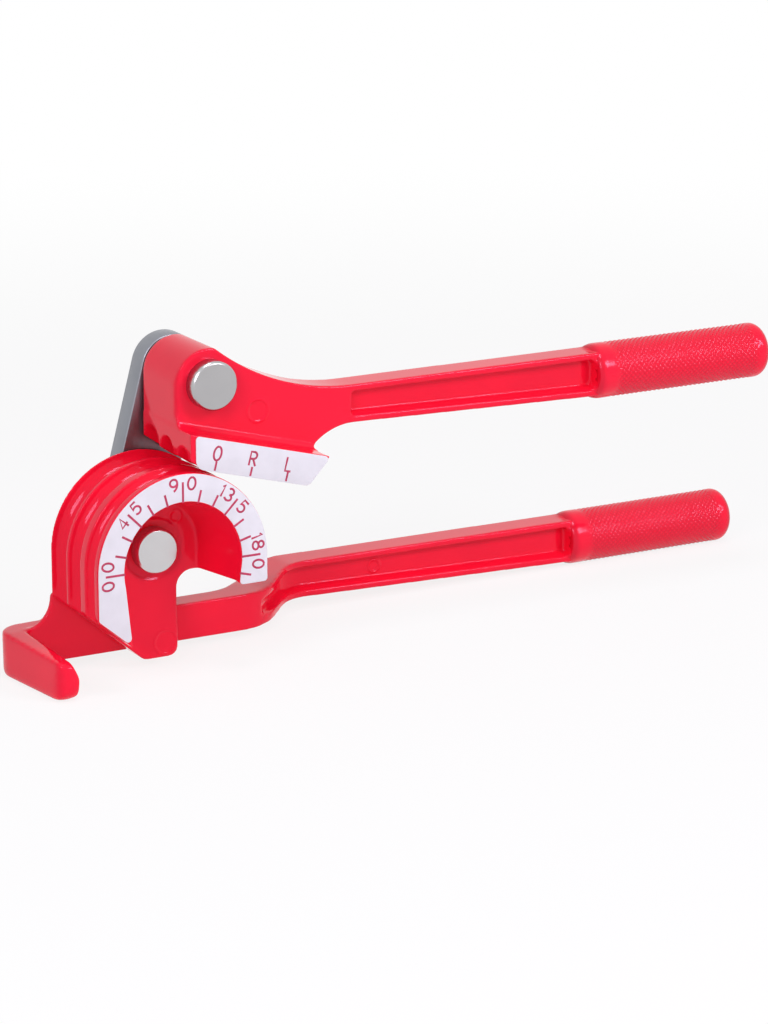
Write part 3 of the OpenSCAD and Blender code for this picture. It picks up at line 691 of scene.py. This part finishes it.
def lathe(name, profile, segments, place):
    """A closed mesh turned about X, from (along, radius) points that start and end on the axis.

    place moves it from there to where it belongs.
    """
    angles = np.linspace(0, 2 * math.pi, segments, endpoint=False)
    points = [(profile[0][0], 0, 0)]
    for along, radius in profile[1:-1]:
        points += [(along, radius * math.sin(a), radius * math.cos(a)) for a in angles]
    points.append((profile[-1][0], 0, 0))
    rings = len(profile) - 2
    last = len(points) - 1
    faces = []
    for i in range(segments):
        j = (i + 1) % segments
        faces.append((0, 1 + i, 1 + j))
        for ring in range(rings - 1):
            low = 1 + ring * segments
            faces.append((low + i, low + segments + i, low + segments + j, low + j))
        top = 1 + (rings - 1) * segments
        faces.append((top + i, last, top + j))
    mesh = bpy.data.meshes.new(name)
    mesh.from_pydata(points, [], faces)
    work = bmesh.new()
    work.from_mesh(mesh)
    bmesh.ops.recalc_face_normals(work, faces=work.faces)
    work.to_mesh(mesh)
    work.free()
    mesh.transform(place)
    mesh.shade_smooth()
    return mesh


def new_tree(name, labels):
    """A Geometry Nodes tree with a geometry input and named number inputs, its Graph and its inputs."""
    tree = bpy.data.node_groups.new(name, "GeometryNodeTree")
    tree.interface.new_socket("Geometry", in_out="OUTPUT", socket_type="NodeSocketGeometry")
    tree.interface.new_socket("Geometry", in_out="INPUT", socket_type="NodeSocketGeometry")
    for label in labels:
        tree.interface.new_socket(label, in_out="INPUT", socket_type="NodeSocketFloat")
    graph = Graph(tree)
    source = tree.nodes.new("NodeGroupInput")
    return graph, {socket.name: Wire(graph, socket) for socket in source.outputs if socket.name}


def close_tree(graph, geometry, material):
    """Ends a tree in real geometry with one material."""
    real = graph.node("GeometryNodeRealizeInstances", inputs={"Geometry": geometry})
    painted = graph.node("GeometryNodeSetMaterial", inputs={"Geometry": real, "Material": material})
    graph.node("NodeGroupOutput", inputs={"Geometry": painted})


def run_tree(piece, tree, values):
    """Runs a tree on an object with the given input values, and returns the mesh that it makes."""
    modifier = piece.modifiers.new(tree.name, "NODES")
    modifier.node_group = tree
    for item in tree.interface.items_tree:
        if item.in_out == "INPUT" and item.name in values:
            modifier[item.identifier] = values[item.name]
    mesh = evaluated_mesh(piece)
    piece.modifiers.clear()
    return mesh


def knurl_tree(material):
    """A tree that presses two crossing sets of grooves into a turned grip that lies along X."""
    graph, given = new_tree(
        "Diamond knurl",
        ("Axis Y", "Axis Z", "Bore", "Start", "End", "Fade", "Pitch", "Diamonds", "Depth"),
    )
    place = graph.node("GeometryNodeInputPosition")
    along, wide, high = graph.split(place)
    across = wide - given["Axis Y"]
    upward = high - given["Axis Z"]
    radius = (across * across + upward * upward).maths("SQRT")
    turns = across.maths("ARCTAN2", upward) / (2 * math.pi) * given["Diamonds"]
    steps = (along - given["Start"]) / given["Pitch"]
    rising = (turns + steps).maths("PINGPONG", 0.5)
    falling = (turns - steps).maths("PINGPONG", 0.5)
    groove = 1 - 2 * rising.maths("MINIMUM", falling)
    enter = graph.smooth_step(along - given["Start"], 0, given["Fade"])
    leave = graph.smooth_step(given["End"] - along, 0, given["Fade"])
    outside = radius.maths("GREATER_THAN", given["Bore"] * BORE_MARGIN)
    sink = given["Depth"] * groove * enter * leave * outside / radius
    inward = graph.node(
        "ShaderNodeCombineXYZ", inputs={"Y": 0 - across * sink, "Z": 0 - upward * sink}
    )
    pressed = graph.node(
        "GeometryNodeSetPosition", inputs={"Geometry": given["Geometry"], "Offset": inward}
    )
    close_tree(graph, pressed, material)
    return graph.tree


def tick_tree(material):
    """A tree that sets flat ticks round a dial that faces -Y, of which every few are long."""
    graph, given = new_tree(
        "Dial ticks",
        ("Axis X", "Axis Z", "Face Y", "Step", "Inner", "Short", "Long", "Width", "Height"),
    )
    points = graph.node("GeometryNodeMeshLine", inputs={"Count": DIAL_TICKS})
    index = graph.node("GeometryNodeInputIndex")
    angle = index * given["Step"]
    place = graph.node(
        "ShaderNodeCombineXYZ",
        inputs={
            "X": given["Axis X"] - given["Inner"] * angle.maths("COSINE"),
            "Y": given["Face Y"],
            "Z": given["Axis Z"] + given["Inner"] * angle.maths("SINE"),
        },
    )
    placed = graph.node("GeometryNodeSetPosition", inputs={"Geometry": points, "Position": place})
    is_long = index.maths("MODULO", DIAL_LONG_EVERY).maths("LESS_THAN", 0.5)
    length = given["Short"] + (given["Long"] - given["Short"]) * is_long
    turn = graph.node("ShaderNodeCombineXYZ", inputs={"Y": angle - math.pi / 2})
    size = graph.node(
        "ShaderNodeCombineXYZ", inputs={"X": given["Width"], "Y": given["Height"] * 2, "Z": length}
    )
    bar = graph.node("GeometryNodeMeshCube", inputs={"Size": (1, 1, 1)})
    stood = graph.node("GeometryNodeTransform", inputs={"Geometry": bar, "Translation": (0, 0, 0.5)})
    ticks = graph.node(
        "GeometryNodeInstanceOnPoints",
        inputs={"Points": placed, "Instance": stood, "Rotation": turn, "Scale": size},
    )
    close_tree(graph, ticks, material)
    return graph.tree


def stroke_tree(material):
    """A tree that turns pen strokes on a face that looks along -Y into flat ribbons of ink."""
    graph, given = new_tree("Ink strokes", ("Face Y", "Width", "Flatten"))
    pen = graph.node(
        "GeometryNodeCurvePrimitiveCircle",
        inputs={"Resolution": STROKE_SIDES, "Radius": given["Width"] / 2},
    )
    ribbon = graph.node(
        "GeometryNodeCurveToMesh",
        inputs={"Curve": given["Geometry"], "Profile Curve": pen, "Fill Caps": True},
    )
    place = graph.node("GeometryNodeInputPosition")
    along, deep, high = graph.split(place)
    pressed_to = given["Face Y"] + (deep - given["Face Y"]) * given["Flatten"]
    flat = graph.node("ShaderNodeCombineXYZ", inputs={"X": along, "Y": pressed_to, "Z": high})
    pressed = graph.node("GeometryNodeSetPosition", inputs={"Geometry": ribbon, "Position": flat})
    close_tree(graph, pressed, material)
    return graph.tree


def arc(centre_x, centre_y, radius_x, radius_y, start, end):
    """Points of an elliptic pen stroke between two angles in degrees."""
    angles = np.radians(np.linspace(start, end, ARC_POINTS))
    return [(centre_x + radius_x * math.cos(a), centre_y + radius_y * math.sin(a)) for a in angles]


# Pen strokes of each mark, in a box one wide and one high
GLYPHS = {
    "0": [arc(0.5, 0.5, 0.48, 0.5, 90, 450)],
    "1": [[(0.3, 0.8), (0.55, 1), (0.55, 0)]],
    "3": [arc(0.45, 0.75, 0.4, 0.25, 150, -90) + arc(0.45, 0.25, 0.48, 0.25, 90, -150)],
    "4": [[(0.72, 0), (0.72, 1), (0.02, 0.3), (1, 0.3)]],
    "5": [[(0.9, 1), (0.2, 1), (0.1, 0.52)] + arc(0.48, 0.32, 0.48, 0.32, 130, -140)],
    "8": [arc(0.5, 0.76, 0.38, 0.24, -90, 270), arc(0.5, 0.26, 0.48, 0.26, 90, 450)],
    "9": [arc(0.5, 0.7, 0.46, 0.3, 0, 360) + arc(0.2, 0.7, 0.76, 0.7, 0, -75)],
    "R": [
        [(0.08, 0), (0.08, 1), (0.5, 1)] + arc(0.5, 0.75, 0.4, 0.25, 90, -90) + [(0.08, 0.5)],
        [(0.48, 0.5), (0.92, 0)],
    ],
    "L": [[(0.15, 1), (0.15, 0), (0.9, 0)]],
}


def pen_strokes(name, strokes):
    """An object of one open pen stroke for each list of points."""
    curve = bpy.data.curves.new(name, "CURVE")
    curve.dimensions = "3D"
    for stroke in strokes:
        spline = curve.splines.new("POLY")
        spline.points.add(len(stroke) - 1)
        for point, place in zip(spline.points, stroke):
            point.co = (*place, 1)
    return new_piece(name, curve)


def inked(name, strokes, face, sizes, material):
    """Printed strokes on a face as one mesh piece."""
    pens = pen_strokes(name + "_pens", strokes)
    mesh = run_tree(
        pens,
        stroke_tree(material),
        {"Face Y": face, "Width": sizes.stroke_width, "Flatten": STROKE_FLATTEN},
    )
    bpy.data.objects.remove(pens)
    mesh.shade_smooth()
    return new_piece(name, mesh)


def dial_digit_strokes():
    """The strokes of the dial's numbers, which straddle their long ticks."""
    strokes = []
    middle = DIAL_DIGIT_FOOT + DIGIT_HEIGHT / 2
    for angle, before, after in DIAL_LABELS:
        offsets = [-DIGIT_GAP - DIGIT_PITCH * i for i in range(len(before))][::-1]
        offsets += [DIGIT_GAP + DIGIT_PITCH * i for i in range(len(after))]
        for glyph, offset in zip(before + after, offsets):
            phi = math.radians(angle) + offset / middle
            outward = Vector((-math.cos(phi), 0, math.sin(phi)))
            onward = Vector((math.sin(phi), 0, math.cos(phi)))
            for stroke in GLYPHS[glyph]:
                strokes.append(
                    [
                        Vector((DIE_AXIS.x, DIAL_FACE, DIE_AXIS.z))
                        + outward * (DIAL_DIGIT_FOOT + y * DIGIT_HEIGHT)
                        + onward * (x - 0.5) * DIGIT_WIDTH
                        for x, y in stroke
                    ]
                )
    return strokes


def shoe_mark_strokes():
    """The strokes of the shoe's three letters and the tick under each."""
    pin = Vector((SHOE_PIN.x, SHOE_FACE, SHOE_PIN.z))
    strokes = []
    for glyph, along in SHOE_MARKS:
        for stroke in GLYPHS[glyph]:
            strokes.append(
                [
                    pin
                    + SHOE_ALONG * (along + (x - 0.5) * DIGIT_WIDTH)
                    + SHOE_UP * (SHOE_LETTER_FOOT + y * SHOE_LETTER_HEIGHT)
                    for x, y in stroke
                ]
            )
        tick = pin + SHOE_ALONG * (along + SHOE_TICK_SHIFT)
        strokes.append([tick + SHOE_UP * SHOE_TICK_FROM, tick + SHOE_UP * SHOE_TICK_TO])
    return strokes


def a_length(name, description, millimetres):
    """A length as a property of a group."""
    return FloatProperty(
        name=name, description=description, default=millimetres * MM, unit="LENGTH"
    )


def a_colour(name, description, default):
    """A colour as a property of a group."""
    return FloatVectorProperty(
        name=name, description=description, default=default, subtype="COLOR"
    )


def a_power(name, description, default):
    """A light's power as a property of a group."""
    return FloatProperty(name=name, description=description, default=default, unit="POWER")


def an_angle(name, description, degrees):
    """An angle as a property of a group."""
    return FloatProperty(
        name=name, description=description, default=math.radians(degrees), subtype="ANGLE"
    )


class BenderSizes(bpy.types.PropertyGroup):
    """Sizes of the finishing details."""

    skin_voxel: a_length("Skin step", "Mesh step of a casting's skin", 0.3)
    edge_rounds: IntProperty(
        name="Edge softness", description="How often a casting's edges are smoothed", default=13
    )
    knurl_pitch: a_length("Knurl pitch", "Length of one knurled diamond along a grip", 1.7)
    knurl_depth: a_length("Knurl depth", "Depth of the knurling's grooves", 0.34)
    knurl_diamonds: IntProperty(
        name="Diamonds", description="Number of knurled diamonds round a grip", default=32
    )
    stroke_width: a_length("Stroke width", "Width of a printed stroke or tick", 0.68)
    ink_height: a_length("Ink height", "How far printed ticks stand above their plate", 0.03)
    link_bevel: a_length("Link bevel", "Width of the bevel on the link plate's edges", 0.5)
    fitting_bevel: a_length("Fitting bevel", "Width of the bevel on pins and small fittings", 0.2)
    plate_bevel: a_length("Plate bevel", "Width of the bevel on the scale plates' edges", 0.1)


class BenderColours(bpy.types.PropertyGroup):
    """Colours of the finishes."""

    enamel: a_colour("Enamel", "Colour of the enamel on castings and grips", (0.88, 0.007, 0.034))
    link: a_colour("Link steel", "Colour of the ground steel link plate", (0.27, 0.28, 0.31))
    nickel: a_colour("Nickel", "Colour of the plated pins", (0.62, 0.61, 0.62))
    dark_steel: a_colour("Dark steel", "Colour of the blackened screws and rings", (0.06, 0.06, 0.065))
    zinc: a_colour("Zinc", "Colour of the zinc-plated rear washers and dowels", (0.56, 0.58, 0.6))
    bronze: a_colour("Bronze", "Colour of the bushes and thrust washers", (0.5, 0.32, 0.13))
    plate: a_colour("Scale plate", "Colour of the white scale plates", (0.72, 0.72, 0.76))
    ink: a_colour("Ink", "Colour of the printed marks", (0.45, 0.03, 0.09))
    floor: a_colour("Floor", "Colour of the studio floor", (0.93, 0.93, 0.93))


class BenderStudio(bpy.types.PropertyGroup):
    """Camera and lights."""

    azimuth: an_angle("Azimuth", "How far the camera stands left of the part's front", 29.39)
    elevation: an_angle("Elevation", "How far the camera looks down", 15.48)
    sky: FloatProperty(
        name="Sky", description="Strength of the even light from all round", default=0.28
    )
    key_power: a_power("Key light", "Power of the soft light in front on the right", 6.6)
    top_power: a_power("Top light", "Power of the soft light overhead", 3.0)
    fill_power: a_power("Fill light", "Power of the soft light in front on the left", 5.0)
    light_colour: a_colour("Light colour", "Colour of the three soft lights", (0.96, 0.9, 1))


class BENDER_OT_castings(bpy.types.Operator):
    """Makes the enamelled lower handle, forming die and upper handle"""

    bl_idname = "bender.castings"
    bl_label = "Castings"

    def execute(self, context):
        sizes = context.scene.bender_sizes
        paint = enamel_material(context.scene.bender_colours.enamel)
        for node, body, share in (
            ("lower_handle", "lower", arm_edge_share),
            ("forming_die", "lower", die_edge_share),
            ("upper_handle", "upper", shoe_edge_share),
        ):
            piece = cast_skin(node + "_casting", node, sizes.skin_voxel, sizes.edge_rounds, share)
            hand_over(piece, body, paint, (node,))
        return {"FINISHED"}


class BENDER_OT_grips(bpy.types.Operator):
    """Turns the two grips and presses their diamond knurling"""

    bl_idname = "bender.grips"
    bl_label = "Grips"

    def execute(self, context):
        sizes = context.scene.bender_sizes
        colour = context.scene.bender_colours.enamel
        for node, body in (("lower_grip", "lower"), ("upper_grip", "upper")):
            low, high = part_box(node)
            axis = (low + high) / 2
            radius = (high.z - low.z) / 2
            paint = grip_material(node + "_enamel", colour, axis, radius, sizes.knurl_depth)
            place = Matrix.Translation((low.x, axis.y, axis.z))
            mesh = lathe(
                node + "_knurled",
                self.profile(high.x - low.x, radius, sizes.knurl_pitch / KNURL_STEPS),
                sizes.knurl_diamonds * KNURL_STEPS,
                place,
            )
            piece = new_piece(node + "_knurled", mesh)
            piece.data = run_tree(
                piece,
                knurl_tree(paint),
                {
                    "Axis Y": axis.y,
                    "Axis Z": axis.z,
                    "Bore": TANG_BORE,
                    "Start": low.x + KNURL_FROM,
                    "End": high.x - KNURL_SHORT_OF_END,
                    "Fade": KNURL_FADE,
                    "Pitch": sizes.knurl_pitch,
                    "Diamonds": float(sizes.knurl_diamonds),
                    "Depth": sizes.knurl_depth,
                },
            )
            piece.data.shade_smooth()
            hand_over(piece, body, paint, (node,))
        return {"FINISHED"}

    @staticmethod
    def profile(length, radius, step):
        """A grip's section: its bore, shoulder, fine straight length and rounded end."""
        start, straight_from = GRIP_SHOULDER_FROM, GRIP_SHOULDER_TO
        straight_to = length - GRIP_END_ROUND
        count = round((straight_to - straight_from) / step)
        section = [(TANG_DEPTH, 0), (TANG_DEPTH, TANG_BORE), (start, TANG_BORE)]
        section += quarter(
            (straight_from, radius - GRIP_SHOULDER_RISE),
            (straight_from - start, GRIP_SHOULDER_RISE),
            math.pi,
        )
        section += [(x, radius) for x in np.linspace(straight_from, straight_to, count + 1)[1:-1]]
        section += quarter(
            (straight_to, radius - GRIP_END_ROUND), (GRIP_END_ROUND, GRIP_END_ROUND), math.pi / 2
        )
        return section + [(length, 0)]


class BENDER_OT_scales(bpy.types.Operator):
    """Makes the white scale plates and prints their marks"""

    bl_idname = "bender.scales"
    bl_label = "Scales"

    def execute(self, context):
        sizes = context.scene.bender_sizes
        colours = context.scene.bender_colours
        white = scale_material(colours.plate)
        ink = print_material(colours.ink)
        for node, body in (("die_scale", "lower"), ("shoe_scale", "upper")):
            plate = softened(node + "_plate", node, sizes.plate_bevel, PLATE_GROW)
            hand_over(plate, body, white, (node,))
        ticks = new_piece("dial_ticks", bpy.data.meshes.new("dial_ticks"))
        ticks.data = run_tree(
            ticks,
            tick_tree(ink),
            {
                "Axis X": DIE_AXIS.x,
                "Axis Z": DIE_AXIS.z,
                "Face Y": DIAL_FACE,
                "Step": math.radians(DIAL_STEP),
                "Inner": DIAL_INNER,
                "Short": DIAL_SHORT,
                "Long": DIAL_LONG,
                "Width": sizes.stroke_width,
                "Height": sizes.ink_height,
            },
        )
        hand_over(ticks, "lower", ink)
        digits = inked("dial_digits", dial_digit_strokes(), DIAL_FACE, sizes, ink)
        hand_over(digits, "lower", ink)
        letters = inked("shoe_marks", shoe_mark_strokes(), SHOE_FACE, sizes, ink)
        hand_over(letters, "upper", ink)
        return {"FINISHED"}


class BENDER_OT_link(bpy.types.Operator):
    """Makes the ground steel link plate"""

    bl_idname = "bender.link"
    bl_label = "Link plate"

    def execute(self, context):
        sizes = context.scene.bender_sizes
        steel = ground_steel_material(
            "ground_link_steel", context.scene.bender_colours.link, (0, SHOE_TILT, 0)
        )
        plate = softened("link_plate_ground", "link_plate", sizes.link_bevel)
        hand_over(plate, "link", steel, ("link_plate",))
        return {"FINISHED"}


class BENDER_OT_pins(bpy.types.Operator):
    """Makes the nickel-plated die pin and shoe pin"""

    bl_idname = "bender.pins"
    bl_label = "Pins"

    def execute(self, context):
        sizes = context.scene.bender_sizes
        colour = context.scene.bender_colours.nickel
        for node, body, axis, shade in (
            ("die_pivot_pin", "lower", DIE_AXIS, 1),
            ("shoe_pivot_pin", "upper", SHOE_PIN, SHOE_PIN_PAINTED_SHADE),
        ):
            # The shoe pin gets a darker copy of the same nickel, which is painted shade
            nickel = turned_nickel_material(node + "_nickel", shaded(colour, shade)[:3], axis)
            pin = softened(node + "_plated", node, sizes.fitting_bevel)
            hand_over(pin, body, nickel, (node,))
        return {"FINISHED"}


class BENDER_OT_fittings(bpy.types.Operator):
    """Makes the screws, dowels, washers, bushes and retaining rings"""

    bl_idname = "bender.fittings"
    bl_label = "Fittings"

    def execute(self, context):
        sizes = context.scene.bender_sizes
        colours = context.scene.bender_colours
        metals = {
            "dark_steel": plain_metal_material("blackened_steel", colours.dark_steel, 0.42, 0.85),
            "zinc_steel": plain_metal_material("zinc_plating", colours.zinc, 0.34, 1),
            "bronze": plain_metal_material("bearing_bronze", colours.bronze, 0.36, 1),
        }
        for node, body, slot in (
            ("die_screws", "lower", "dark_steel"),
            ("die_retaining_ring", "lower", "dark_steel"),
            ("shoe_retaining_ring", "upper", "dark_steel"),
            ("die_dowels", "lower", "zinc_steel"),
            ("die_rear_washer", "lower", "zinc_steel"),
            ("shoe_rear_washer", "upper", "zinc_steel"),
            ("die_thrust_washer", "lower", "bronze"),
            ("shoe_thrust_washer", "upper", "bronze"),
            ("die_bush", "link", "bronze"),
            ("shoe_bush", "link", "bronze"),
        ):
            fitting = softened(node + "_eased", node, sizes.fitting_bevel)
            hand_over(fitting, body, metals[slot], (node,))
        return {"FINISHED"}


class BENDER_OT_stage(bpy.types.Operator):
    """Sets the pale floor, the soft lights and the camera"""

    bl_idname = "bender.stage"
    bl_label = "Studio"

    def execute(self, context):
        studio = context.scene.bender_studio
        self.floor(context.scene.bender_colours.floor)
        self.sky(context, studio.sky)
        self.lamps(studio)
        self.camera(context, studio)
        context.scene.view_settings.view_transform = "Standard"
        return {"FINISHED"}

    @staticmethod
    def floor(colour):
        """A wide level floor that the part stands on."""
        mesh = bpy.data.meshes.new("studio_floor")
        signs = ((-1, -1), (1, -1), (1, 1), (-1, 1))
        corners = [(FLOOR_HALF * x, FLOOR_HALF * y, 0) for x, y in signs]
        mesh.from_pydata(corners, [], [(0, 1, 2, 3)])
        mesh.materials.append(floor_material(colour))
        new_piece("studio_floor", mesh)

    @staticmethod
    def sky(context, strength):
        """Even light from all round, which the camera and reflections see as white."""
        world = bpy.data.worlds.new("studio_sky")
        world.use_nodes = True
        world.node_tree.nodes.clear()
        graph = Graph(world.node_tree)
        light = graph.node(
            "ShaderNodeBackground",
            inputs={
                "Color": (1, 1, 1, 1),
                "Strength": strength + (1 - strength) * graph.seen_or_mirrored(),
            },
        )
        graph.node("ShaderNodeOutputWorld", inputs={"Surface": light})
        context.scene.world = world

    @staticmethod
    def lamps(studio):
        """Square soft lights that look at the part's middle."""
        centre = (CAD_LOW + CAD_HIGH) / 2
        for name, place, size, power_name in LAMPS:
            light = bpy.data.lights.new(name, "AREA")
            light.size = size
            light.energy = getattr(studio, power_name)
            light.color = studio.light_colour
            lamp = new_piece(name, light)
            lamp.location = place
            lamp.rotation_euler = (centre - place).to_track_quat("-Z", "Y").to_euler()

    @staticmethod
    def camera(context, studio):
        """A camera that puts the die's centre on its pixel of the photograph, at its distance."""
        azimuth, elevation = studio.azimuth, studio.elevation
        forward = Vector(
            (
                math.sin(azimuth) * math.cos(elevation),
                math.cos(azimuth) * math.cos(elevation),
                -math.sin(elevation),
            )
        )
        right = Vector((math.cos(azimuth), -math.sin(azimuth), 0))
        upward = right.cross(forward)
        view = bpy.data.cameras.new("photo_view")
        view.sensor_width = SENSOR
        view.lens = FOCAL_PIXELS * SENSOR / IMAGE_HEIGHT
        view.clip_start = CLIP_START
        view.clip_end = CLIP_END
        camera = new_piece("photo_view", view)
        per_pixel = DIE_DISTANCE / FOCAL_PIXELS
        target = Vector((DIE_AXIS.x, DIE_FRONT, DIE_AXIS.z))
        camera.location = (
            target
            - forward * DIE_DISTANCE
            - right * (DIE_PIXEL[0] - IMAGE_WIDTH / 2) * per_pixel
            + upward * (DIE_PIXEL[1] - IMAGE_HEIGHT / 2) * per_pixel
        )
        camera.rotation_euler = forward.to_track_quat("-Z", "Y").to_euler()
        context.scene.camera = camera


class BENDER_PT_sidebar(bpy.types.Panel):
    """Lists the bender's pieces and their sizes"""

    bl_idname = "BENDER_PT_sidebar"
    bl_label = "Tube bender"
    bl_space_type = "VIEW_3D"
    bl_region_type = "UI"
    bl_category = "Tube bender"

    def draw(self, context):
        for group in (
            context.scene.bender_sizes,
            context.scene.bender_colours,
            context.scene.bender_studio,
        ):
            for name in group.__annotations__:
                self.layout.prop(group, name)
        for operator in OPERATORS:
            self.layout.operator(operator.bl_idname)


OPERATORS = (
    BENDER_OT_castings,
    BENDER_OT_grips,
    BENDER_OT_scales,
    BENDER_OT_link,
    BENDER_OT_pins,
    BENDER_OT_fittings,
    BENDER_OT_stage,
)
CLASSES = (BenderSizes, BenderColours, BenderStudio, *OPERATORS, BENDER_PT_sidebar)


def register():
    for item in CLASSES:
        bpy.utils.register_class(item)
    bpy.types.Scene.bender_sizes = PointerProperty(type=BenderSizes)
    bpy.types.Scene.bender_colours = PointerProperty(type=BenderColours)
    bpy.types.Scene.bender_studio = PointerProperty(type=BenderStudio)


def unregister():
    del bpy.types.Scene.bender_studio
    del bpy.types.Scene.bender_colours
    del bpy.types.Scene.bender_sizes
    for item in reversed(CLASSES):
        bpy.utils.unregister_class(item)


def main():
    """Dresses the part piece by piece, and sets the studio."""
    register()
    bpy.ops.bender.castings()
    bpy.ops.bender.grips()
    bpy.ops.bender.scales()
    bpy.ops.bender.link()
    bpy.ops.bender.pins()
    bpy.ops.bender.fittings()
    bpy.ops.bender.stage()


if __name__ == "__main__":
    main()
